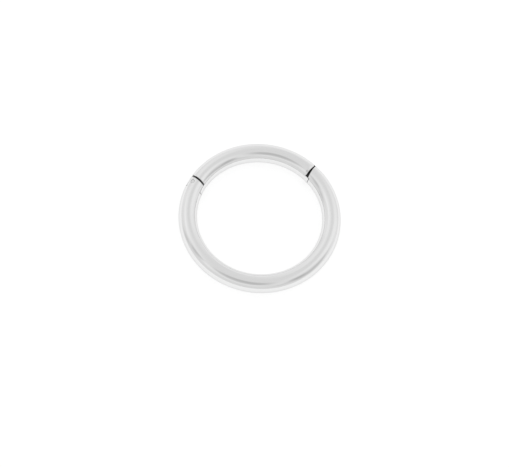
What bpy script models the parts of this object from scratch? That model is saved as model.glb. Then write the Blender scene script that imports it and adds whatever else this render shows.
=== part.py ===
"""Hinged segment ring: a round-wire ring whose upper arc swings open on a pin.

The ring lies on its side. The origin is the centre of the ring on the plane it lies on, +Z is the
ring's axis, and +Y points at the middle of the hinged segment. All sizes are in metres and degrees.
A seam frame has X clockwise along the wire, Y out from the ring's centre and Z up, so at the hinge
its X points at the segment, and at the clasp its X points at the body.
"""

import math

import bmesh
import bpy
from mathutils import Matrix, Vector

# The ring
WIRE_DIAMETER = 0.0012
INNER_DIAMETER = 0.0080
SEGMENT_ANGLE = 105.0

# The seams. A lean is how far a face's outer edge leans towards the middle of the segment
HINGE_GAP = 0.00011
HINGE_LEAN = 11.0
CLASP_EDGE_GAP = 0.00002
CLASP_BODY_LEAN = 15.0
CLASP_SEGMENT_LEAN = 6.0
EDGE_ROUNDING = 0.00006

# The segment's flat tongues and the slots in the body that take them
TONGUE_THICKNESS = 0.00070
SLOT_CLEARANCE = 0.00003
CATCH_LENGTH = 0.00032
SLOT_END_CLEARANCE = 0.00004

# The hinge pin, and the metal left around it in the ears and the tongue
PIN_DIAMETER = 0.00024
PIN_COVER = 0.00022
EAR_WALL = 0.00012
TAIL_WALL = 0.00028
EAR_HOLE_CLEARANCE = 0.00001
TONGUE_HOLE_CLEARANCE = 0.00003
SWING_CLEARANCE = 0.00003

# How finely the round surfaces are faceted
WIRE_SIDES = 24
PIN_SIDES = 24
CORNER_STEPS = 8
DEGREES_PER_SECTION = 3.5
ROUNDING_STEPS = 2
SHARP_ABOVE = 40.0
WELD_DISTANCE = 0.0000001

# Worked out from the sizes above
WIRE_RADIUS = WIRE_DIAMETER / 2
RING_RADIUS = INNER_DIAMETER / 2 + WIRE_RADIUS
PIN_RADIUS = PIN_DIAMETER / 2
HINGE_ANGLE = 90 + SEGMENT_ANGLE / 2
CLASP_ANGLE = 90 - SEGMENT_ANGLE / 2
SLOT_WIDTH = TONGUE_THICKNESS + 2 * SLOT_CLEARANCE
PIN_RING_RADIUS = RING_RADIUS + WIRE_RADIUS - PIN_COVER - PIN_RADIUS
PIN_SETBACK = HINGE_GAP / 2 + EAR_WALL + PIN_RADIUS
TAIL_RADIUS = PIN_RADIUS + TAIL_WALL
SLOT_END_RADIUS = TAIL_RADIUS + SLOT_END_CLEARANCE
REACH = 2 * WIRE_DIAMETER  # how far a cutter goes on past the wire

STEEL_COLOUR = (0.80, 0.80, 0.80, 1.0)
PIN_COLOUR = (0.74, 0.74, 0.74, 1.0)


def arc_degrees(length):
    """The angle that a length along the wire's centreline spans."""
    return math.degrees(length / RING_RADIUS)


PIN_ANGLE = HINGE_ANGLE + arc_degrees(PIN_SETBACK)
CATCH_END_ANGLE = CLASP_ANGLE - arc_degrees(CATCH_LENGTH)
SLOT_END_ANGLE = CATCH_END_ANGLE - arc_degrees(SLOT_END_CLEARANCE)
CLASP_GAP = CLASP_EDGE_GAP + WIRE_RADIUS * (
    math.tan(math.radians(CLASP_BODY_LEAN)) - math.tan(math.radians(CLASP_SEGMENT_LEAN))
)


def clear_scene():
    for item in list(bpy.data.objects):
        bpy.data.objects.remove(item, do_unlink=True)


def new_collection(name):
    made = bpy.data.collections.new(name)
    bpy.context.scene.collection.children.link(made)
    return made


def metal(name, colour, roughness):
    """A polished metal of one colour."""
    made = bpy.data.materials.new(name)
    made.use_nodes = True
    shader = made.node_tree.nodes["Principled BSDF"]
    shader.inputs["Base Color"].default_value = colour
    shader.inputs["Metallic"].default_value = 1.0
    shader.inputs["Roughness"].default_value = roughness
    made.diffuse_color = colour
    return made


def place(name, mesh, collection, matrix):
    made = bpy.data.objects.new(name, mesh)
    made.matrix_world = matrix
    collection.objects.link(made)
    return made


def mesh_of(name, shape):
    """Turns a closed bmesh into a named mesh, with every face facing out."""
    bmesh.ops.recalc_face_normals(shape, faces=shape.faces[:])
    if shape.calc_volume(signed=True) < 0:
        bmesh.ops.reverse_faces(shape, faces=shape.faces[:])
    mesh = bpy.data.meshes.new(name)
    shape.to_mesh(mesh)
    shape.free()
    return mesh


def seam_frame(angle, radius=RING_RADIUS):
    """The frame on the wire at that angle round the ring, at the wire's middle height."""
    turn = math.radians(angle)
    out = Vector((math.cos(turn), math.sin(turn), 0))
    along = Vector((math.sin(turn), -math.cos(turn), 0))
    columns = Matrix((along, out, Vector((0, 0, 1)))).transposed().to_4x4()
    return Matrix.Translation(out * radius + Vector((0, 0, WIRE_RADIUS))) @ columns


def leaning_angle(radius, angle, lean):
    """Where a leaning seam face crosses a circle about the ring's centre, in degrees.

    The face passes through the wire's centreline at the given angle, and a positive lean turns
    it anticlockwise from the ring's radius.
    """
    turn = math.radians(lean)
    return angle + lean - math.degrees(math.asin(RING_RADIUS * math.sin(turn) / radius))


def wire_arc(name, start, end):
    """Round wire swept round the ring between two faces, each given as (angle, lean)."""
    sweep = math.radians(end[0] - start[0])
    sections = math.ceil((end[0] - start[0]) / DEGREES_PER_SECTION)
    shape = bmesh.new()
    stand_up = Matrix.Rotation(math.pi / 2, 4, "X") @ Matrix.Rotation(math.pi / WIRE_SIDES, 4, "Z")
    bmesh.ops.create_circle(
        shape,
        cap_ends=True,
        segments=WIRE_SIDES,
        radius=WIRE_RADIUS / math.cos(math.pi / WIRE_SIDES),
        matrix=Matrix.Translation((RING_RADIUS, 0, WIRE_RADIUS)) @ stand_up,
    )
    bmesh.ops.spin(
        shape,
        geom=shape.verts[:] + shape.edges[:] + shape.faces[:],
        cent=(0, 0, 0),
        axis=(0, 0, 1),
        angle=sweep,
        steps=sections,
    )
    slack = math.radians(DEGREES_PER_SECTION) / 2
    for vertex in shape.verts:
        radius = math.hypot(vertex.co.x, vertex.co.y)
        swept = (math.atan2(vertex.co.y, vertex.co.x) + slack) % math.tau - slack
        first = leaning_angle(radius, *start)
        last = leaning_angle(radius, *end)
        turn = math.radians(first + (last - first) * swept / sweep)
        vertex.co.x = radius * math.cos(turn)
        vertex.co.y = radius * math.sin(turn)
    bmesh.ops.recalc_face_normals(shape, faces=shape.faces[:])
    rims = {edge for face in shape.faces if len(face.verts) == WIRE_SIDES for edge in face.edges}
    bmesh.ops.bevel(
        shape,
        geom=list(rims),
        offset=EDGE_ROUNDING,
        segments=ROUNDING_STEPS,
        profile=0.5,
        affect="EDGES",
        loop_slide=True,
    )
    return mesh_of(name, shape)


def block(name, low, high):
    """A box between two corners, in its own frame."""
    shape = bmesh.new()
    size = [b - a for a, b in zip(low, high)]
    middle = [(a + b) / 2 for a, b in zip(low, high)]
    bmesh.ops.create_cube(shape, size=1, matrix=Matrix.Translation(middle) @ Matrix.Diagonal((*size, 1)))
    return mesh_of(name, shape)


def cylinder(name, radius, length):
    """A cylinder about its frame's Z axis, centred on it."""
    shape = bmesh.new()
    bmesh.ops.create_cone(
        shape,
        cap_ends=True,
        segments=PIN_SIDES,
        radius1=radius,
        radius2=radius,
        depth=length,
    )
    return mesh_of(name, shape)


def flat_plate(name, outline, thickness):
    """A flat plate of that outline, centred on its frame's XY plane."""
    curve = bpy.data.curves.new(name, "CURVE")
    curve.dimensions = "2D"
    curve.fill_mode = "BOTH"
    curve.extrude = thickness / 2
    line = curve.splines.new("POLY")
    line.points.add(len(outline) - 1)
    line.use_cyclic_u = True
    for point, (x, y) in zip(line.points, outline):
        point.co = (x, y, 0, 1)
    helper = bpy.data.objects.new(name, curve)
    bpy.context.scene.collection.objects.link(helper)
    graph = bpy.context.evaluated_depsgraph_get()
    shape = bmesh.new()
    shape.from_mesh(bpy.data.meshes.new_from_object(helper.evaluated_get(graph)))
    bpy.data.objects.remove(helper, do_unlink=True)
    bmesh.ops.remove_doubles(shape, verts=shape.verts[:], dist=WELD_DISTANCE)
    return mesh_of(name, shape)


def corner_arc(radius, start, end):
    """Points on a circle about the frame's origin, from one angle to another."""
    turns = [math.radians(start + (end - start) * k / CORNER_STEPS) for k in range(CORNER_STEPS + 1)]
    return [(radius * math.cos(turn), radius * math.sin(turn)) for turn in turns]


def cut(target, cutter):
    """Adds a live Boolean that takes the cutter's shape out of the target."""
    cutter.hide_render = True
    cutter.display_type = "WIRE"
    modifier = target.modifiers.new(cutter.name, "BOOLEAN")
    modifier.operation = "DIFFERENCE"
    modifier.solver = "EXACT"
    modifier.object = cutter


def shade(item, material):
    """Smooths the round surfaces, keeps the edges sharp, and gives the piece its metal."""
    item.data.shade_smooth()
    item.data.set_sharp_from_angle(angle=math.radians(SHARP_ABOVE))
    item.data.materials.clear()
    item.data.materials.append(material)


def cut_cheeks(segment, cutters, side, angle, lean, towards_body):
    """Takes the metal off above and below one of the segment's tongues, back to its shoulder."""
    inner = TONGUE_THICKNESS / 2
    frame = seam_frame(angle) @ Matrix.Rotation(math.radians(lean), 4, "Z")
    reach = sorted((0.0, towards_body * REACH))
    for level, (low, high) in {"top": (inner, REACH), "bottom": (-REACH, -inner)}.items():
        name = f"cut_{side}_cheek_{level}"
        mesh = block(name, (reach[0], -REACH, low), (reach[1], REACH, high))
        cut(segment, place(name, mesh, cutters, frame))


def make_body(parts, cutters, steel):
    """The long arc of wire. Its two ends are slotted, and the pin's ears are rounded outside."""
    hinge_face = HINGE_ANGLE + arc_degrees(HINGE_GAP / 2)
    clasp_face = CLASP_ANGLE - arc_degrees(CLASP_GAP / 2)
    mesh = wire_arc("ring_body", (hinge_face, -HINGE_LEAN), (clasp_face + 360, CLASP_BODY_LEAN))
    body = place("ring_body", mesh, parts, Matrix.Identity(4))

    at_pin = seam_frame(PIN_ANGLE, PIN_RING_RADIUS)
    slot = [(REACH, REACH), (0, REACH), *corner_arc(SLOT_END_RADIUS, 90, 180)]
    slot += [(-SLOT_END_RADIUS, -REACH), (REACH, -REACH)]
    slot_mesh = flat_plate("cut_hinge_slot", slot, SLOT_WIDTH)
    cut(body, place("cut_hinge_slot", slot_mesh, cutters, at_pin))

    shoulder = seam_frame(HINGE_ANGLE - arc_degrees(HINGE_GAP / 2))
    facing = shoulder.to_3x3() @ Vector(
        (math.cos(math.radians(HINGE_LEAN)), -math.sin(math.radians(HINGE_LEAN)), 0)
    )
    pin_to_shoulder = (shoulder.translation - at_pin.translation).dot(facing)
    ear_radius = pin_to_shoulder - SWING_CLEARANCE
    corner = [*corner_arc(ear_radius, 0, 90), (0, REACH), (REACH, REACH), (REACH, 0)]
    ear_mesh = flat_plate("cut_ear_corner", corner, 2 * REACH)
    cut(body, place("cut_ear_corner", ear_mesh, cutters, at_pin))

    hole = cylinder("cut_ear_hole", PIN_RADIUS + EAR_HOLE_CLEARANCE, 2 * REACH)
    cut(body, place("cut_ear_hole", hole, cutters, at_pin))

    half = SLOT_WIDTH / 2
    catch_slot = block("cut_catch_slot", (-REACH, -REACH, -half), (0, REACH, half))
    cut(body, place("cut_catch_slot", catch_slot, cutters, seam_frame(SLOT_END_ANGLE)))
    shade(body, steel)


def make_segment(parts, cutters, steel):
    """The short arc that swings. A tongue at each end goes into the body's slots."""
    past_tail = PIN_ANGLE + arc_degrees(2 * TAIL_RADIUS)
    mesh = wire_arc("hinged_segment", (CATCH_END_ANGLE, 0), (past_tail, 0))
    segment = place("hinged_segment", mesh, parts, Matrix.Identity(4))

    hinge_shoulder = HINGE_ANGLE - arc_degrees(HINGE_GAP / 2)
    clasp_shoulder = CLASP_ANGLE + arc_degrees(CLASP_GAP / 2)
    cut_cheeks(segment, cutters, "hinge", hinge_shoulder, -HINGE_LEAN, -1)
    cut_cheeks(segment, cutters, "clasp", clasp_shoulder, CLASP_SEGMENT_LEAN, 1)

    at_pin = seam_frame(PIN_ANGLE, PIN_RING_RADIUS)
    tail = [*corner_arc(TAIL_RADIUS, 90, 180), (-TAIL_RADIUS, -REACH)]
    tail += [(-REACH, -REACH), (-REACH, REACH), (0, REACH)]
    tail_mesh = flat_plate("cut_tail_end", tail, 2 * REACH)
    cut(segment, place("cut_tail_end", tail_mesh, cutters, at_pin))

    hole = cylinder("cut_tongue_hole", PIN_RADIUS + TONGUE_HOLE_CLEARANCE, 2 * REACH)
    cut(segment, place("cut_tongue_hole", hole, cutters, at_pin))
    shade(segment, steel)


def make_pin(parts, cutters, steel):
    """The pin through the ears and the tongue, finished flush with the wire's surface."""
    past = arc_degrees(REACH)
    wire = wire_arc("trim_pin_ends", (PIN_ANGLE - past, 0), (PIN_ANGLE + past, 0))
    trim = place("trim_pin_ends", wire, cutters, Matrix.Identity(4))
    trim.hide_render = True
    trim.display_type = "WIRE"
    mesh = cylinder("hinge_pin", PIN_RADIUS, REACH)
    pin = place("hinge_pin", mesh, parts, seam_frame(PIN_ANGLE, PIN_RING_RADIUS))
    modifier = pin.modifiers.new("flush_ends", "BOOLEAN")
    modifier.operation = "INTERSECT"
    modifier.solver = "EXACT"
    modifier.object = trim
    shade(pin, steel)


def main():
    clear_scene()
    parts = new_collection("hinged_segment_ring")
    cutters = new_collection("cutters")
    make_body(parts, cutters, metal("polished_body_steel", STEEL_COLOUR, 0.08))
    make_segment(parts, cutters, metal("polished_segment_steel", STEEL_COLOUR, 0.08))
    make_pin(parts, cutters, metal("pin_steel", PIN_COLOUR, 0.16))
    bpy.context.view_layer.update()


main()
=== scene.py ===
"""Dresses the hinged segment ring: fine polished wire, rounded seams, flat tongues and a flush pin.

Everything is in metres in the frame of the solids: the origin is the ring's centre on the plane
that it lies on, +Z is the ring's axis and +Y points at the middle of the hinged segment. Angles
round the ring are in degrees, anticlockwise from +X seen from above.
"""

import logging
import math
from dataclasses import dataclass
from enum import Enum

import bpy
import numpy as np
from mathutils import Matrix, Vector


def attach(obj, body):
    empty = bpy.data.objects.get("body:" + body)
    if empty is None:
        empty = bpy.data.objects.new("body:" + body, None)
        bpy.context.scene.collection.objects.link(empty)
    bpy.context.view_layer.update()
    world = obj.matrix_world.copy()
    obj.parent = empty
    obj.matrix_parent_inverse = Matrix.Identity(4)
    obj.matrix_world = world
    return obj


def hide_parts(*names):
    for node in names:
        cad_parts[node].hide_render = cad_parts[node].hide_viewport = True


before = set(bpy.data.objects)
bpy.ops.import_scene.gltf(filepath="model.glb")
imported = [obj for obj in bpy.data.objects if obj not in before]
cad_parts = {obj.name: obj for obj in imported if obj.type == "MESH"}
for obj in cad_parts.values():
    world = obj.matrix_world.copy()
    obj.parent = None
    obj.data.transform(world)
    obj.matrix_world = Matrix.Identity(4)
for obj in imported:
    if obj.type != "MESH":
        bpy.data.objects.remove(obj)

LOG = logging.getLogger("hinged_segment_ring")
PHOTO_WIDTH = 509
PHOTO_HEIGHT = 467
FULL_TURN = 360.0
SHORTEST_LENGTH = 1e-12


class Finish(Enum):
    """The material slot of a piece that a face uses."""

    POLISHED = 0
    SAWN = 1
    # Near black steel with shade painted into the clasp's gap, lighter past the body's face.
    GAP_SHADE = 2


@dataclass(frozen=True)
class RingSizes:
    """The sizes that the pieces share with the solids, in metres and degrees."""

    wire_diameter: float = 0.0012
    inner_diameter: float = 0.0080
    segment_angle: float = 105.0
    hinge_gap: float = 0.00011
    hinge_lean: float = 11.0
    clasp_edge_gap: float = 0.00002
    clasp_body_lean: float = 15.0
    clasp_segment_lean: float = 6.0
    edge_rounding: float = 0.00006
    clasp_roll: float = 0.00020
    tongue_thickness: float = 0.00070
    slot_clearance: float = 0.00003
    catch_length: float = 0.00032
    slot_end_clearance: float = 0.00004
    pin_diameter: float = 0.00024
    pin_cover: float = 0.00022
    ear_wall: float = 0.00012
    tail_wall: float = 0.00028
    ear_hole_clearance: float = 0.00001
    tongue_hole_clearance: float = 0.00003
    swing_clearance: float = 0.00003

    @property
    def wire_radius(self) -> float:
        """Half of the wire's thickness."""
        return self.wire_diameter / 2

    @property
    def ring_radius(self) -> float:
        """From the ring's axis to the middle of the wire."""
        return self.inner_diameter / 2 + self.wire_radius

    @property
    def pin_radius(self) -> float:
        """Half of the pin's thickness."""
        return self.pin_diameter / 2

    @property
    def slot_width(self) -> float:
        """The height of both slots in the body."""
        return self.tongue_thickness + 2 * self.slot_clearance

    @property
    def hinge_angle(self) -> float:
        """Where the hinge seam crosses the middle of the wire."""
        return 90 + self.segment_angle / 2

    @property
    def clasp_angle(self) -> float:
        """Where the clasp seam crosses the middle of the wire."""
        return 90 - self.segment_angle / 2

    @property
    def clasp_gap(self) -> float:
        """The clasp seam's width at the middle of the wire: it is a wedge, narrow outside."""
        lean = math.tan(math.radians(self.clasp_body_lean))
        lean -= math.tan(math.radians(self.clasp_segment_lean))
        return self.clasp_edge_gap + self.wire_radius * lean

    @property
    def pin_ring_radius(self) -> float:
        """From the ring's axis to the pin's axis."""
        return self.ring_radius + self.wire_radius - self.pin_cover - self.pin_radius

    @property
    def pin_angle(self) -> float:
        """The angle of the pin round the ring."""
        return self.hinge_angle + self.arc(self.hinge_gap / 2 + self.ear_wall + self.pin_radius)

    @property
    def tail_radius(self) -> float:
        """The rounding of the hinge tongue's end about the pin."""
        return self.pin_radius + self.tail_wall

    @property
    def catch_end_angle(self) -> float:
        """Where the catch tongue ends."""
        return self.clasp_angle - self.arc(self.catch_length)

    @property
    def reach(self) -> float:
        """How far a cutter goes on past the wire."""
        return 2 * self.wire_diameter

    @property
    def pin_frame(self) -> Matrix:
        """The seam frame at the pin's axis."""
        return self.seam_frame(self.pin_angle, self.pin_ring_radius)

    def arc(self, length: float) -> float:
        """The angle, in degrees, that a length along the middle of the wire spans."""
        return math.degrees(length / self.ring_radius)

    def seam_frame(self, angle: float, radius: float | None = None) -> Matrix:
        """A frame on the wire: X clockwise along it, Y out from the ring's centre and Z up.

        Args:
            angle: Where it is round the ring, in degrees.
            radius: How far it is from the ring's axis, or None for the middle of the wire.

        Returns:
            The frame as a matrix, at the middle of the wire's height.
        """
        turn = math.radians(angle)
        out = Vector((math.cos(turn), math.sin(turn), 0))
        along = Vector((math.sin(turn), -math.cos(turn), 0))
        columns = Matrix((along, out, Vector((0, 0, 1)))).transposed().to_4x4()
        place = out * (self.ring_radius if radius is None else radius)
        return Matrix.Translation(place + Vector((0, 0, self.wire_radius))) @ columns

    def facing(self, angle: float, lean: float) -> Vector:
        """The clockwise normal of an end face: a seam frame's X, turned by the face's lean."""
        turn = math.radians(lean)
        return self.seam_frame(angle).to_3x3() @ Vector((math.cos(turn), math.sin(turn), 0))


@dataclass(frozen=True)
class SeamFace:
    """An end face of a wire: where it crosses the middle of the wire, and how far it leans."""

    angle: float
    lean: float
    rounding: float
    roll: float
    finish: Finish

    def angle_at(self, radius: np.ndarray, ring_radius: float) -> np.ndarray:
        """Where the face crosses circles about the ring's axis.

        The face is a plane through the ring's axis direction. It is turned from the ring's radius
        by its lean about its point on the middle of the wire, so on a circle of another radius it
        lies at angle + lean - arcsin(ring radius x sin(lean) / radius).

        Args:
            radius: Radii of the circles.
            ring_radius: The radius of the middle of the wire.

        Returns:
            The angles in degrees, in the shape of radius.
        """
        turn = math.radians(self.lean)
        return self.angle + self.lean - np.degrees(np.arcsin(ring_radius * math.sin(turn) / radius))


def link(name: str, mesh: bpy.types.Mesh) -> bpy.types.Object:
    """Puts a mesh into the scene as an object at the origin."""
    made = bpy.data.objects.new(name, mesh)
    bpy.context.scene.collection.objects.link(made)
    return made


def closed_tube(name: str, rings: np.ndarray, finishes: np.ndarray) -> bpy.types.Mesh:
    """A closed skin through a row of loops, with a point in the middle of each end.

    Args:
        name: The mesh's name.
        rings: Points as (loop, place round the loop, xyz).
        finishes: One finish number for each strip of faces, the two end fans included, or one
            for each face of each strip.

    Returns:
        The mesh, with its faces pointing out.
    """
    loops, count, _ = rings.shape
    points = np.concatenate([rings.reshape(-1, 3), rings[0].mean(0)[None], rings[-1].mean(0)[None]])
    here = np.arange(loops * count).reshape(loops, count)
    after = np.roll(here, -1, axis=1)
    quads = np.stack([here[:-1], after[:-1], after[1:], here[1:]], axis=-1).reshape(-1, 4)
    first = np.stack([np.full(count, loops * count), after[0], here[0]], axis=-1)
    last = np.stack([np.full(count, loops * count + 1), here[-1], after[-1]], axis=-1)
    mesh = bpy.data.meshes.new(name)
    mesh.from_pydata(points.tolist(), [], first.tolist() + quads.tolist() + last.tolist())
    finishes = np.broadcast_to(finishes.reshape(loops + 1, -1), (loops + 1, count))
    mesh.polygons.foreach_set("material_index", finishes.ravel().astype(np.int32))
    mesh.polygons.foreach_set("use_smooth", np.ones(len(mesh.polygons), bool))
    mesh.update()
    if signed_volume(mesh) < 0:
        mesh.flip_normals()
    return mesh


def signed_volume(mesh: bpy.types.Mesh) -> float:
    """The volume inside a closed mesh, negative where its faces point in."""
    mesh.calc_loop_triangles()
    corners = np.empty(len(mesh.loop_triangles) * 3, np.int32)
    mesh.loop_triangles.foreach_get("vertices", corners)
    places = np.empty(len(mesh.vertices) * 3, np.float64)
    mesh.vertices.foreach_get("co", places)
    triangles = places.reshape(-1, 3)[corners.reshape(-1, 3)]
    return float(np.linalg.det(triangles).sum() / 6)


def corner_arc(radius: float, start: float, end: float, steps: int) -> np.ndarray:
    """Points on a circle about a frame's origin: radius x (cos t, sin t) for even steps of t."""
    turn = np.radians(np.linspace(start, end, steps + 1))
    return radius * np.stack([np.cos(turn), np.sin(turn)], axis=-1)


def plate(
    name: str,
    outline: np.ndarray,
    thickness: float,
    place: Matrix,
    finish: Finish = Finish.SAWN,
) -> bpy.types.Object:
    """A flat plate: an outline in a frame's XY plane, carried from -half to +half thickness in Z.

    Args:
        name: The object's name.
        outline: Points of the outline as (point, xy).
        thickness: The plate's thickness.
        place: The frame that the outline is drawn in.
        finish: The finish that its faces leave in what they cut.

    Returns:
        The plate as an object at the origin, with its place in its mesh.
    """
    count = len(outline)
    level = np.full((count, 1), thickness / 2)
    local = np.concatenate([np.hstack([outline, -level]), np.hstack([outline, level])])
    matrix = np.array(place)
    points = local @ matrix[:3, :3].T + matrix[:3, 3]
    here = np.arange(count)
    after = np.roll(here, -1)
    walls = np.stack([here, after, after + count, here + count], axis=-1)
    mesh = bpy.data.meshes.new(name)
    ends = [here[::-1].tolist(), (here + count).tolist()]
    mesh.from_pydata(points.tolist(), [], walls.tolist() + ends)
    mesh.polygons.foreach_set("material_index", np.full(count + 2, finish.value, np.int32))
    mesh.update()
    if signed_volume(mesh) < 0:
        mesh.flip_normals()
    return link(name, mesh)


@dataclass
class WireWork:
    """Makes round wire, cuts it, and gives it the true normals of a round surface."""

    sizes: RingSizes
    sides: int = 144
    degrees_per_loop: float = 0.75
    rounding_steps: int = 7
    cap_loops: int = 3
    tongue_side_steps: int = 16
    tongue_flat_steps: int = 22
    tongue_end_steps: int = 4
    edge_per_inset: float = 1.5
    drill_sides: int = 72
    round_within: float = 0.00000005
    round_angle: float = 25.0
    crease_angle: float = 32.0

    def arc_of_wire(self, name: str, start: SeamFace, end: SeamFace) -> bpy.types.Object:
        """Round wire swept round the ring between two faces whose rims are rounded.

        A loop has the section radius r and the setback s from its end face. Between the rims r is
        the wire's radius. Over a rim r = wire radius - rounding x (1 - cos t) and
        s = roll x (1 - sin t), for t from 0 to 90 degrees. Over the flat end s is 0 and r goes
        down to the middle. A point at section angle f lies at the distance
        ring radius + r cos f from the axis and at the height wire radius + r sin f.

        Args:
            name: The object's name.
            start: The face at the clockwise end.
            end: The face at the anticlockwise end.

        Returns:
            The wire as an object.
        """
        size = self.sizes
        turn = np.linspace(0, math.pi / 2, self.rounding_steps + 1)
        caps = []
        for face in (start, end):
            rim_radius = size.wire_radius - face.rounding * (1 - np.cos(turn))
            flat_radius = rim_radius[-1] * np.arange(self.cap_loops, 0, -1) / (self.cap_loops + 1)
            rim_setback = face.roll * (1 - np.sin(turn))
            caps.append((
                np.concatenate([rim_radius, flat_radius]),
                np.concatenate([rim_setback, np.zeros(self.cap_loops)]),
            ))
        (start_radius, start_setback), (end_radius, end_setback) = caps
        loops = math.ceil((end.angle - start.angle) / self.degrees_per_loop)
        inner_loop = size.inner_diameter / 2 * math.radians(self.degrees_per_loop)
        taken = math.ceil(max(start.roll, end.roll) / inner_loop)
        middle = np.linspace(0, 1, loops + 1)[taken:-taken]
        radius = np.concatenate([
            start_radius[::-1], np.full(len(middle), size.wire_radius), end_radius,
        ])
        share = np.concatenate([np.zeros(len(start_radius)), middle, np.ones(len(end_radius))])
        setback = np.concatenate([start_setback[::-1], 0 * middle, -end_setback])
        around = np.linspace(0, 2 * math.pi, self.sides, endpoint=False)
        out = size.ring_radius + radius[:, None] * np.cos(around)
        height = size.wire_radius + radius[:, None] * np.sin(around)
        first = start.angle_at(out, size.ring_radius)
        last = end.angle_at(out, size.ring_radius)
        angle = np.radians(first + (last - first) * share[:, None]) + setback[:, None] / out
        rings = np.stack([out * np.cos(angle), out * np.sin(angle), height], axis=-1)
        finishes = np.full(len(radius) + 1, Finish.POLISHED.value)
        finishes[: self.cap_loops + 1] = start.finish.value
        finishes[-self.cap_loops - 1 :] = end.finish.value
        return link(name, closed_tube(name, rings, finishes))

    def tongue(
        self, name: str, start: float, end: float, inset: float, finish: Finish
    ) -> bpy.types.Object:
        """The middle layer of the wire: flat above and below, and round at its two sides.

        Its section is the wire's circle, smaller by the inset, between minus and plus half of the
        tongue's thickness: the sides follow the circle and the top and bottom are straight. The
        section is carried round the ring, and its last loops shrink over a quarter circle.

        Args:
            name: The object's name.
            start: Its clockwise end, in degrees.
            end: Its anticlockwise end, in degrees.
            inset: How far its sides lie under the wire's surface.
            finish: The finish of its flats and ends. Its round sides are polished.

        Returns:
            The tongue as an object.
        """
        size = self.sizes
        circle = size.wire_radius - inset
        half = size.tongue_thickness / 2
        reach = math.asin(half / circle)
        side = np.linspace(-reach, reach, self.tongue_side_steps + 1)
        across = circle * math.cos(reach)
        flat = np.linspace(across, -across, self.tongue_flat_steps + 1)[1:-1]
        section = np.concatenate([
            np.stack([circle * np.cos(side), circle * np.sin(side)], axis=-1),
            np.stack([flat, np.full(len(flat), half)], axis=-1),
            np.stack([-circle * np.cos(side), -circle * np.sin(side)], axis=-1),
            np.stack([-flat, np.full(len(flat), -half)], axis=-1),
        ])
        turn = np.linspace(0, math.pi / 2, self.tongue_end_steps + 1)
        edge = inset * self.edge_per_inset
        shrink = 1 - edge / half * (1 - np.cos(turn))
        back = np.degrees(edge * (1 - np.sin(turn)) / size.ring_radius)
        loops = math.ceil((end - start) / self.degrees_per_loop)
        angles = np.concatenate([
            start + back[::-1], np.linspace(start, end, loops + 1)[1:-1], end - back,
        ])
        scale = np.concatenate([shrink[::-1], np.ones(loops - 1), shrink])
        out = size.ring_radius + section[:, 0] * scale[:, None]
        height = size.wire_radius + section[:, 1] * scale[:, None]
        angle = np.radians(angles)[:, None]
        rings = np.stack([out * np.cos(angle), out * np.sin(angle), height], axis=-1)
        sides = np.full(len(side) - 1, Finish.POLISHED.value)
        flats = np.full(len(flat) + 1, finish.value)
        finishes = np.tile(np.concatenate([sides, flats, sides, flats]), (len(scale) + 1, 1))
        finishes[[0, -1]] = finish.value
        return link(name, closed_tube(name, rings, finishes))

    def drill(self, name: str, radius: float, place: Matrix) -> bpy.types.Object:
        """A round cutter about a frame's Z axis, longer than the wire is thick."""
        outline = corner_arc(radius, 0, FULL_TURN, self.drill_sides)[:-1]
        return plate(name, outline, self.sizes.reach, place)

    @staticmethod
    def combine(target: bpy.types.Object, other: bpy.types.Object, operation: str) -> None:
        """Cuts or joins another object into the target and removes it.

        Args:
            target: The piece that is worked on.
            other: The cutter, or the piece that is joined on.
            operation: UNION or DIFFERENCE.
        """
        for item in (target, other):
            while len(item.data.materials) < len(Finish):
                item.data.materials.append(None)
        modifier = target.modifiers.new(other.name, "BOOLEAN")
        modifier.operation = operation
        modifier.solver = "EXACT"
        modifier.material_mode = "INDEX"
        modifier.object = other
        graph = bpy.context.evaluated_depsgraph_get()
        mesh = bpy.data.meshes.new_from_object(target.evaluated_get(graph))
        target.modifiers.clear()
        old = target.data
        mesh.name = old.name
        target.data = mesh
        bpy.data.meshes.remove(old)
        spare = other.data
        bpy.data.objects.remove(other, do_unlink=True)
        bpy.data.meshes.remove(spare)

    def finish(self, item: bpy.types.Object) -> None:
        """Shades the round parts smooth, keeps the cut edges sharp, and sets true normals.

        On the wire's round surface a corner's normal is the direction from the middle of the wire
        to the corner. Every other corner keeps the normal that its smooth faces give it.

        Args:
            item: The piece, with its cuts made.
        """
        mesh = item.data
        mesh.shade_smooth()
        mesh.set_sharp_from_angle(angle=math.radians(self.crease_angle))
        points = np.empty(len(mesh.vertices) * 3, np.float32)
        mesh.vertices.foreach_get("co", points)
        points = points.reshape(-1, 3).astype(np.float64)
        distance = np.hypot(points[:, 0], points[:, 1])
        middle = points * (self.sizes.ring_radius / distance)[:, None]
        middle[:, 2] = self.sizes.wire_radius
        away = points - middle
        length = np.linalg.norm(away, axis=1)
        on_surface = np.abs(length - self.sizes.wire_radius) < self.round_within
        outward = away / np.maximum(length, SHORTEST_LENGTH)[:, None]
        corner = np.empty(len(mesh.loops), np.int32)
        mesh.loops.foreach_get("vertex_index", corner)
        normals = np.empty(len(mesh.loops) * 3, np.float32)
        mesh.corner_normals.foreach_get("vector", normals)
        normals = normals.reshape(-1, 3).astype(np.float64)
        near = (normals * outward[corner]).sum(axis=1) > math.cos(math.radians(self.round_angle))
        use = on_surface[corner] & near
        normals[use] = outward[corner][use]
        mesh.normals_split_custom_set(normals.tolist())
        mesh.update()


def math_node(
    tree: bpy.types.NodeTree,
    operation: str,
    *values: bpy.types.NodeSocket | float,
) -> bpy.types.NodeSocket:
    """A Math node.

    Args:
        tree: The node tree that it goes in.
        operation: Blender's name for the sum.
        values: A socket or a number for each input.

    Returns:
        The result's socket.
    """
    node = tree.nodes.new("ShaderNodeMath")
    node.operation = operation
    for place, value in zip(node.inputs, values):
        if isinstance(value, bpy.types.NodeSocket):
            tree.links.new(value, place)
        else:
            place.default_value = value
    return node.outputs["Value"]


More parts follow.
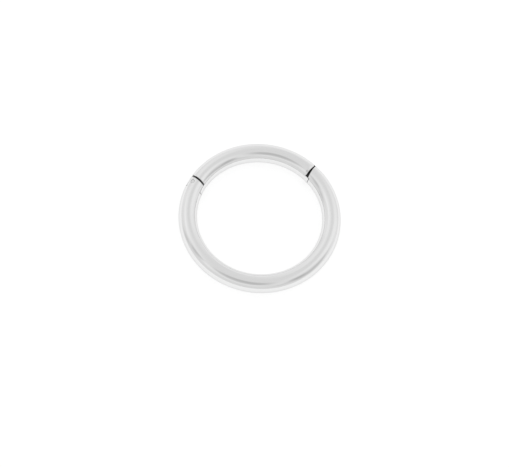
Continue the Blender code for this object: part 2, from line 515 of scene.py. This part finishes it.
def noise(
    tree: bpy.types.NodeTree,
    vector: bpy.types.NodeSocket,
    per_metre: tuple[float, float, float],
    detail: float,
) -> bpy.types.NodeSocket:
    """Smooth noise between 0 and 1.

    Args:
        tree: The node tree that it goes in.
        vector: The coordinates, in metres.
        per_metre: How many patches fit in a metre along each coordinate.
        detail: How many finer layers are added.

    Returns:
        The noise's socket.
    """
    scaled = tree.nodes.new("ShaderNodeMapping")
    scaled.inputs["Scale"].default_value = per_metre
    tree.links.new(vector, scaled.inputs["Vector"])
    made = tree.nodes.new("ShaderNodeTexNoise")
    made.inputs["Scale"].default_value = 1.0
    made.inputs["Detail"].default_value = detail
    tree.links.new(scaled.outputs["Vector"], made.inputs["Vector"])
    return made.outputs["Fac"]


def dot(
    tree: bpy.types.NodeTree, vector: bpy.types.NodeSocket, other: Vector
) -> bpy.types.NodeSocket:
    """The dot product of a socket's vector and a fixed one."""
    node = tree.nodes.new("ShaderNodeVectorMath")
    node.operation = "DOT_PRODUCT"
    tree.links.new(vector, node.inputs[0])
    node.inputs[1].default_value = other
    return node.outputs["Value"]


def step(
    tree: bpy.types.NodeTree, value: bpy.types.NodeSocket, start: float, end: float
) -> bpy.types.NodeSocket:
    """A smooth step that is 0 where the value is start and 1 where it is end."""
    node = tree.nodes.new("ShaderNodeMapRange")
    node.interpolation_type = "SMOOTHERSTEP"
    tree.links.new(value, node.inputs["Value"])
    node.inputs["From Min"].default_value = min(start, end)
    node.inputs["From Max"].default_value = max(start, end)
    node.inputs["To Min"].default_value = float(start > end)
    node.inputs["To Max"].default_value = float(start < end)
    return node.outputs["Result"]


@dataclass(frozen=True)
class PolishedSteel:
    """Bright polished steel: soft wandering reflections, faint haze and lines along the wire.

    The scales are patches in a metre along and round the wire. The haze is how far the roughness
    varies, and the wander is the height of the waves that bend the reflections, in metres.
    """

    name: str
    sizes: RingSizes
    colour: float
    roughness: float
    haze: float
    wander: float
    edge_tint: float = 0.85
    cloud_scale: tuple[float, float, float] = (900.0, 1500.0, 1.0)
    line_scale: tuple[float, float, float] = (500.0, 30000.0, 1.0)
    wave_scale: tuple[float, float, float] = (420.0, 900.0, 1.0)

    def build(self) -> bpy.types.Material:
        """Makes the material on coordinates that run along and round the wire."""
        made = bpy.data.materials.new(self.name)
        made.use_nodes = True
        tree = made.node_tree
        shader = tree.nodes["Principled BSDF"]
        shader.inputs["Base Color"].default_value = (self.colour, self.colour, self.colour, 1)
        shader.inputs["Metallic"].default_value = 1.0
        tint = (self.edge_tint, self.edge_tint, self.edge_tint, 1)
        shader.inputs["Specular Tint"].default_value = tint
        wire = self.wire_coordinates(tree)
        cloud = noise(tree, wire, self.cloud_scale, detail=3.0)
        lines = noise(tree, wire, self.line_scale, detail=2.0)
        rough = math_node(tree, "MULTIPLY_ADD", cloud, self.haze, self.roughness - self.haze / 2)
        rough = math_node(tree, "MULTIPLY_ADD", lines, self.haze / 2, rough)
        tree.links.new(rough, shader.inputs["Roughness"])
        waves = noise(tree, wire, self.wave_scale, detail=1.0)
        bump = tree.nodes.new("ShaderNodeBump")
        bump.inputs["Strength"].default_value = 1.0
        bump.inputs["Distance"].default_value = self.wander
        tree.links.new(waves, bump.inputs["Height"])
        tree.links.new(bump.outputs["Normal"], shader.inputs["Normal"])
        return made

    def wire_coordinates(self, tree: bpy.types.NodeTree) -> bpy.types.NodeSocket:
        """Lengths along and round the wire as a vector, from object coordinates.

        The first is the ring radius times the angle round the ring, counted from the hinge seam so
        that its jump falls in the gap. The second is the wire's radius times the angle round the
        section, counted from the top, so that its jump falls on the underside.

        Args:
            tree: The material's node tree.

        Returns:
            The socket that holds the vector.
        """
        coordinates = tree.nodes.new("ShaderNodeTexCoord")
        turned = tree.nodes.new("ShaderNodeMapping")
        turned.inputs["Rotation"].default_value = (0, 0, math.radians(180 - self.sizes.hinge_angle))
        tree.links.new(coordinates.outputs["Object"], turned.inputs["Vector"])
        split = tree.nodes.new("ShaderNodeSeparateXYZ")
        tree.links.new(turned.outputs["Vector"], split.inputs["Vector"])
        x, y, z = split.outputs
        angle = math_node(tree, "ARCTAN2", y, x)
        along = math_node(tree, "MULTIPLY", angle, self.sizes.ring_radius)
        squares = math_node(
            tree, "ADD", math_node(tree, "MULTIPLY", x, x), math_node(tree, "MULTIPLY", y, y)
        )
        out = math_node(tree, "SUBTRACT", math_node(tree, "SQRT", squares), self.sizes.ring_radius)
        up = math_node(tree, "SUBTRACT", z, self.sizes.wire_radius)
        section = math_node(tree, "ARCTAN2", out, up)
        around = math_node(tree, "MULTIPLY", section, self.sizes.wire_radius)
        joined = tree.nodes.new("ShaderNodeCombineXYZ")
        tree.links.new(along, joined.inputs["X"])
        tree.links.new(around, joined.inputs["Y"])
        return joined.outputs["Vector"]


@dataclass(frozen=True)
class SawnSteel:
    """The steel inside the slots and seams: duller, darker, with the cutter's fine lines.

    Where it has a second colour, its own dark colour is painted shade in the clasp's gap, and the
    second colour takes over past the plane of the body's face. The scales are patches in a metre
    along each object coordinate.
    """

    name: str
    sizes: RingSizes
    colour: float
    roughness: float
    metallic: float
    gloss: float
    unshaded_colour: float | None = None
    shade_edge: float = 0.00003
    haze: float = 0.2
    groove_strength: float = 0.6
    groove_depth: float = 0.000002
    groove_scale: tuple[float, float, float] = (1500.0, 1500.0, 60000.0)
    ragged_scale: tuple[float, float, float] = (16000.0, 16000.0, 16000.0)

    def build(self) -> bpy.types.Material:
        """Makes the material, with fine level lines on object coordinates."""
        made = bpy.data.materials.new(self.name)
        made.use_nodes = True
        tree = made.node_tree
        shader = tree.nodes["Principled BSDF"]
        shader.inputs["Base Color"].default_value = (self.colour, self.colour, self.colour, 1)
        shader.inputs["Metallic"].default_value = self.metallic
        shader.inputs["Specular IOR Level"].default_value = self.gloss
        coordinates = tree.nodes.new("ShaderNodeTexCoord").outputs["Object"]
        lines = noise(tree, coordinates, self.groove_scale, detail=3.0)
        rough = math_node(tree, "MULTIPLY_ADD", lines, self.haze, self.roughness - self.haze / 2)
        tree.links.new(rough, shader.inputs["Roughness"])
        bump = tree.nodes.new("ShaderNodeBump")
        bump.inputs["Strength"].default_value = self.groove_strength
        bump.inputs["Distance"].default_value = self.groove_depth
        tree.links.new(lines, bump.inputs["Height"])
        tree.links.new(bump.outputs["Normal"], shader.inputs["Normal"])
        # Painted shade: the dark colour stands for the shade in the clasp's gap, and the second
        # colour takes over past the body's face.
        if self.unshaded_colour is not None:
            change = self.unshaded_colour - self.colour
            out_of_shade = self.out_of_shade(tree, coordinates)
            shade = math_node(tree, "MULTIPLY_ADD", out_of_shade, change, self.colour)
            tree.links.new(shade, shader.inputs["Base Color"])
        return made

    def out_of_shade(
        self, tree: bpy.types.NodeTree, coordinates: bpy.types.NodeSocket
    ) -> bpy.types.NodeSocket:
        """Where the painted shade gives way: 0 in the clasp's gap, where shade is painted, and 1
        past the plane of the body's face.

        The edge between them is made ragged by noise as high as the edge is wide.

        Args:
            tree: The material's node tree.
            coordinates: The object coordinates.

        Returns:
            The socket that holds the mask: 0 where the shade is painted.
        """
        size = self.sizes
        angle = size.clasp_angle - size.arc(size.clasp_gap / 2)
        facing = size.facing(angle, size.clasp_body_lean)
        level = size.seam_frame(angle).translation.dot(facing)
        depth = math_node(tree, "SUBTRACT", dot(tree, coordinates, facing), level)
        ragged = noise(tree, coordinates, self.ragged_scale, detail=2.0)
        depth = math_node(tree, "MULTIPLY_ADD", ragged, self.shade_edge, depth)
        return step(tree, depth, self.shade_edge / 2, 1.5 * self.shade_edge)


def set_finishes(item: bpy.types.Object, *materials: bpy.types.Material) -> None:
    """Gives a piece its materials, in the order of the finishes."""
    while len(item.data.materials) < len(materials):
        item.data.materials.append(None)
    for slot, material in enumerate(materials):
        item.data.materials[slot] = material


@dataclass
class RingBody:
    """The long arc of wire, with the hinge's ears at one end and the catch's slot at the other."""

    sizes: RingSizes
    work: WireWork
    arc_steps: int = 40

    def build(self) -> bpy.types.Object:
        """Makes the wire and cuts its slots, the ears' outer corner and the pin's hole."""
        size = self.sizes
        hinge = SeamFace(
            size.hinge_angle + size.arc(size.hinge_gap / 2),
            -size.hinge_lean,
            size.edge_rounding,
            size.edge_rounding,
            Finish.SAWN,
        )
        clasp = SeamFace(
            size.clasp_angle - size.arc(size.clasp_gap / 2) + FULL_TURN,
            size.clasp_body_lean,
            size.edge_rounding,
            size.edge_rounding,
            Finish.SAWN,
        )
        body = self.work.arc_of_wire("fine_ring_body", hinge, clasp)
        for cutter in (self.hinge_slot(), self.ear_corner(), self.pin_hole(), self.catch_slot()):
            self.work.combine(body, cutter, "DIFFERENCE")
        self.work.finish(body)
        return body

    def hinge_slot(self) -> bpy.types.Object:
        """The slot for the hinge tongue, rounded about the pin and open to the segment."""
        size = self.sizes
        reach = size.reach
        end = size.tail_radius + size.slot_end_clearance
        arc = corner_arc(end, 90, 180, self.arc_steps)
        outline = np.vstack([[(reach, reach), (0, reach)], arc, [(-end, -reach), (reach, -reach)]])
        place = size.pin_frame
        return plate("hinge_slot", outline, size.slot_width, place)

    def ear_corner(self) -> bpy.types.Object:
        """What is rounded off the outside of the ears, so that the segment can swing out."""
        size = self.sizes
        reach = size.reach
        pin = size.pin_frame
        angle = size.hinge_angle - size.arc(size.hinge_gap / 2)
        away = size.seam_frame(angle).translation - pin.translation
        radius = away.dot(size.facing(angle, -size.hinge_lean)) - size.swing_clearance
        arc = corner_arc(radius, 0, 90, self.arc_steps)
        outline = np.vstack([arc, [(0, reach), (reach, reach), (reach, 0)]])
        return plate("ear_corner", outline, 2 * reach, pin, Finish.POLISHED)

    def pin_hole(self) -> bpy.types.Object:
        """The hole through both ears."""
        size = self.sizes
        place = size.pin_frame
        return self.work.drill("pin_hole", size.pin_radius + size.ear_hole_clearance, place)

    def catch_slot(self) -> bpy.types.Object:
        """The slot for the catch tongue."""
        size = self.sizes
        reach = size.reach
        outline = np.array([(-reach, -reach), (0, -reach), (0, reach), (-reach, reach)])
        place = size.seam_frame(size.catch_end_angle - size.arc(size.slot_end_clearance))
        return plate("catch_slot", outline, size.slot_width, place)


@dataclass
class HingedSegment:
    """The short arc of wire that swings, with a flat tongue at each end."""

    sizes: RingSizes
    work: WireWork
    tongue_inset: float = 0.00001
    tongue_root: float = 0.0004
    arc_steps: int = 40

    def build(self) -> bpy.types.Object:
        """Makes the wire between its shoulders, joins the tongues on and drills the pin's hole."""
        size = self.sizes
        clasp = SeamFace(
            size.clasp_angle + size.arc(size.clasp_gap / 2),
            size.clasp_segment_lean,
            size.edge_rounding,
            size.clasp_roll,
            # the clasp face takes the steel with shade painted into the clasp's gap
            Finish.GAP_SHADE,
        )
        hinge = SeamFace(
            size.hinge_angle - size.arc(size.hinge_gap / 2),
            -size.hinge_lean,
            size.edge_rounding,
            size.edge_rounding,
            Finish.SAWN,
        )
        segment = self.work.arc_of_wire("fine_hinged_segment", clasp, hinge)
        for tongue in (self.hinge_tongue(hinge), self.catch_tongue(clasp)):
            self.work.combine(segment, tongue, "UNION")
        place = size.pin_frame
        hole = self.work.drill("tongue_hole", size.pin_radius + size.tongue_hole_clearance, place)
        self.work.combine(segment, hole, "DIFFERENCE")
        self.work.finish(segment)
        return segment

    def hinge_tongue(self, shoulder: SeamFace) -> bpy.types.Object:
        """The tongue round the pin, its end rounded about the pin's axis."""
        size = self.sizes
        root = shoulder.angle - size.arc(self.tongue_root)
        past = size.pin_angle + size.arc(2 * size.tail_radius)
        tongue = self.work.tongue("hinge_tongue", root, past, self.tongue_inset, Finish.SAWN)
        reach = size.reach
        tail = size.tail_radius
        arc = corner_arc(tail, 90, 180, self.arc_steps)
        outline = np.vstack([arc, [(-tail, -reach), (-reach, -reach), (-reach, reach), (0, reach)]])
        place = size.pin_frame
        self.work.combine(tongue, plate("tail_end", outline, 2 * reach, place), "DIFFERENCE")
        return tongue

    def catch_tongue(self, shoulder: SeamFace) -> bpy.types.Object:
        """The tongue that drops into the body's slot."""
        root = shoulder.angle + self.sizes.arc(self.tongue_root)
        end = self.sizes.catch_end_angle
        # Its flats and ends take the steel with shade painted into the clasp's gap.
        return self.work.tongue("catch_tongue", end, root, self.tongue_inset, Finish.GAP_SHADE)


@dataclass
class HingePin:
    """The pin through the ears and the tongue, ground flush with the wire at both ends."""

    sizes: RingSizes
    sides: int = 96
    rings: int = 8
    rim_steps: int = 5
    edge_break: float = 0.000012
    sunk: float = 0.000002
    crease_angle: float = 40.0

    def build(self) -> bpy.types.Object:
        """Makes the pin as loops of points from its lower middle to its upper middle.

        A loop at the distance d from the pin's axis takes its height from the wire: the wire's
        middle height plus or minus the root of wire radius squared minus (out - ring radius)
        squared, where out is the point's distance from the ring's axis. The edge is broken over a
        quarter circle.

        Returns:
            The pin as an object.
        """
        size = self.sizes
        turn = np.linspace(math.pi / 2, 0, self.rim_steps + 1)
        flat = size.pin_radius - self.edge_break
        inner = flat * np.arange(1, self.rings) / self.rings
        rim = flat + self.edge_break * np.cos(turn)
        drop = np.concatenate([0 * inner, self.edge_break * (1 - np.sin(turn))]) + self.sunk
        radius = np.concatenate([inner, rim])
        radius = np.concatenate([radius, radius[::-1]])
        drop = np.concatenate([drop, drop[::-1]])
        sign = np.concatenate([-np.ones(len(radius) // 2), np.ones(len(radius) // 2)])
        around = np.linspace(0, 2 * math.pi, self.sides, endpoint=False)
        place = np.array(size.pin_frame)
        circle = np.stack([np.cos(around), np.sin(around), 0 * around], axis=-1)
        points = radius[:, None, None] * circle @ place[:3, :3].T + place[:3, 3]
        out = np.hypot(points[..., 0], points[..., 1])
        wall = np.sqrt(size.wire_radius**2 - (out - size.ring_radius) ** 2)
        points[..., 2] = size.wire_radius + sign[:, None] * (wall - drop[:, None])
        mesh = closed_tube("fine_hinge_pin", points, np.zeros(len(radius) + 1))
        mesh.set_sharp_from_angle(angle=math.radians(self.crease_angle))
        return link("fine_hinge_pin", mesh)


@dataclass(frozen=True)
class SoftPatch:
    """A soft lighter or darker patch of the light all round.

    Its turn is counted anticlockwise from the direction straight past the ring, away from the
    camera, and its rise from the level, both in degrees. Its strength falls off smoothly with u
    squared plus v squared. u is the direction's dot product with the level line across the patch,
    over the sine of its half width, and v is that with the line up the patch, over the sine of its
    half height. It fades out towards the half of the directions that face away from it.
    """

    turn: float
    rise: float
    half_width: float
    half_height: float
    strength: float
    front_fade: float = 0.1

    def add(
        self,
        tree: bpy.types.NodeTree,
        direction: bpy.types.NodeSocket,
        total: bpy.types.NodeSocket | float,
        camera_azimuth: float,
    ) -> bpy.types.NodeSocket:
        """Adds the patch to the light so far.

        Args:
            tree: The world's node tree.
            direction: The socket with the direction.
            total: The light so far, as a number or a socket.
            camera_azimuth: Which side of the ring the camera stands on, in degrees.

        Returns:
            The socket with the patch added.
        """
        turn = math.radians(90 + camera_azimuth + self.turn)
        rise = math.radians(self.rise)
        level = Vector((math.cos(turn), math.sin(turn), 0))
        middle = level * math.cos(rise) + Vector((0, 0, math.sin(rise)))
        across = Vector((-math.sin(turn), math.cos(turn), 0))
        upward = middle.cross(across)
        u = dot(tree, direction, across / math.sin(math.radians(self.half_width)))
        v = dot(tree, direction, upward / math.sin(math.radians(self.half_height)))
        squares = math_node(
            tree, "ADD", math_node(tree, "MULTIPLY", u, u), math_node(tree, "MULTIPLY", v, v)
        )
        inside = step(tree, squares, 1.0, 0.0)
        in_front = step(tree, dot(tree, direction, middle), 0.0, self.front_fade)
        shape = math_node(tree, "MULTIPLY", inside, in_front)
        return math_node(tree, "MULTIPLY_ADD", shape, self.strength, total)


@dataclass
class Studio:
    """The pale floor, the soft light all round, and the camera at the photograph's angle.

    The nearest and farthest that the camera sees are shares of its distance from the ring.
    """

    sizes: RingSizes
    camera_azimuth: float = -14.3
    camera_elevation: float = 65.2
    camera_roll: float = 8.2
    pixels_per_metre: float = 15650.0
    ring_pixel: tuple[float, float] = (259.7, 217.5)
    lens: float = 150.0
    sensor: float = 36.0
    nearest: float = 0.01
    farthest: float = 20.0
    floor_radius: float = 0.6
    floor_sides: int = 96
    floor_glow: float = 0.75
    floor_colour: float = 0.36
    dome: float = 0.81
    patches: tuple[SoftPatch, ...] = (
        SoftPatch(-2, -9, 84, 45, 0.16),
        SoftPatch(64, 44, 73, 38, 0.13),
        SoftPatch(-85, 40, 85, 42, 0.16),
        SoftPatch(168, 62, 27, 25, -0.23),
        SoftPatch(-112, 34, 29, 33, -0.17),
        SoftPatch(72, 24, 32, 29, -0.23),
        SoftPatch(84, 35, 43, 28, -0.13),
        SoftPatch(124, 2, 85, 5, 0.10),
        SoftPatch(-93, -3, 53, 20, 0.11),
        SoftPatch(70, 24, 27, 40, 0.30),
        SoftPatch(149, 45, 57, 20, 0.09),
        SoftPatch(-113, 29, 53, 16, -0.16),
        SoftPatch(-125, 40, 11, 11, -0.15),
        SoftPatch(107, 42, 10, 18, -0.20),
    )

    def build(self) -> None:
        """Makes the floor, the light and the camera."""
        self.floor()
        self.light()
        self.camera()
        view = bpy.context.scene.view_settings
        view.view_transform = "Standard"
        view.look = "None"

    def directions(self) -> tuple[Vector, Vector, Vector]:
        """The unit vectors from the ring to the camera, to its right and up, before its roll."""
        turn = math.radians(self.camera_azimuth)
        rise = math.radians(self.camera_elevation)
        back = Vector((
            math.sin(turn) * math.cos(rise), -math.cos(turn) * math.cos(rise), math.sin(rise),
        ))
        right = Vector((math.cos(turn), math.sin(turn), 0))
        return back, right, back.cross(right)

    def camera(self) -> None:
        """Puts the camera where the ring's centre falls on its pixel in the photograph."""
        back, right, up = self.directions()
        roll = math.radians(self.camera_roll)
        across = right * math.cos(roll) + up * math.sin(roll)
        upward = up * math.cos(roll) - right * math.sin(roll)
        aside = (self.ring_pixel[0] - PHOTO_WIDTH / 2) / self.pixels_per_metre
        above = (PHOTO_HEIGHT / 2 - self.ring_pixel[1]) / self.pixels_per_metre
        distance = PHOTO_WIDTH / self.pixels_per_metre * self.lens / self.sensor
        centre = Vector((0, 0, self.sizes.wire_radius))
        data = bpy.data.cameras.new("camera")
        data.lens = self.lens
        data.sensor_width = self.sensor
        data.clip_start = distance * self.nearest
        data.clip_end = distance * self.farthest
        made = bpy.data.objects.new("camera", data)
        turned = Matrix((across, upward, back)).transposed().to_4x4()
        made.matrix_world = Matrix.Translation(
            centre + back * distance - across * aside - upward * above
        ) @ turned
        bpy.context.scene.collection.objects.link(made)
        bpy.context.scene.camera = made

    def floor(self) -> None:
        """A round pale floor: points at radius x (cos t, sin t, 0), joined into one face."""
        edge = corner_arc(self.floor_radius, 0, FULL_TURN, self.floor_sides)[:-1]
        mesh = bpy.data.meshes.new("floor")
        points = np.hstack([edge, np.zeros((len(edge), 1))])
        mesh.from_pydata(points.tolist(), [], [list(range(len(edge)))])
        material = bpy.data.materials.new("pale_floor")
        material.use_nodes = True
        shader = material.node_tree.nodes["Principled BSDF"]
        shade = (self.floor_colour, self.floor_colour, self.floor_colour, 1)
        shader.inputs["Base Color"].default_value = shade
        shader.inputs["Roughness"].default_value = 1.0
        shader.inputs["Specular IOR Level"].default_value = 0.0
        shader.inputs["Emission Color"].default_value = (1, 1, 1, 1)
        shader.inputs["Emission Strength"].default_value = self.floor_glow
        mesh.materials.append(material)
        link("floor", mesh)

    def light(self) -> None:
        """Soft light from all round: an even dome, with the soft patches added one by one."""
        world = bpy.data.worlds.new("soft_light")
        bpy.context.scene.world = world
        world.use_nodes = True
        tree = world.node_tree
        background = tree.nodes["Background"]
        direction = tree.nodes.new("ShaderNodeTexCoord").outputs["Generated"]
        total = self.dome
        for patch in self.patches:
            total = patch.add(tree, direction, total, self.camera_azimuth)
        tree.links.new(total, background.inputs["Strength"])
        background.inputs["Color"].default_value = (1, 1, 1, 1)


def main() -> None:
    """Builds the pieces in order, dresses them and reports each one."""
    logging.basicConfig(level=logging.INFO, format="%(message)s")
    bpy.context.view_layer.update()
    sizes = RingSizes()
    work = WireWork(sizes)
    bright = PolishedSteel(
        "polished_steel", sizes, colour=0.82, roughness=0.065, haze=0.03, wander=0.000005
    ).build()
    pin_steel = PolishedSteel(
        "pin_steel", sizes, colour=0.74, roughness=0.17, haze=0.04, wander=0.0000008
    ).build()
    sawn = SawnSteel(
        "sawn_steel", sizes, colour=0.17, roughness=0.40, metallic=0.6, gloss=0.3
    ).build()
    # Near black colour painted as the shade in the clasp's gap, 0.20 past the body's face.
    gap_shade_material = SawnSteel(
        "gap_shade_steel",
        sizes,
        colour=0.035,
        roughness=0.50,
        metallic=0.3,
        gloss=0.15,
        unshaded_colour=0.20,
    ).build()
    for maker, node, body, slot in (
        (RingBody(sizes, work), "ring_body", "body", "body_steel"),
        (HingedSegment(sizes, work), "hinged_segment", "segment", "segment_steel"),
        (HingePin(sizes), "hinge_pin", "body", "pin_steel"),
    ):
        piece = maker.build()
        set_finishes(piece, pin_steel if node == "hinge_pin" else bright, sawn, gap_shade_material)
        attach(piece, body)
        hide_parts(node)
        LOG.info("%s: %d faces, rides on %s", piece.name, len(piece.data.polygons), body)
    Studio(sizes).build()


if __name__ == "__main__":
    main()
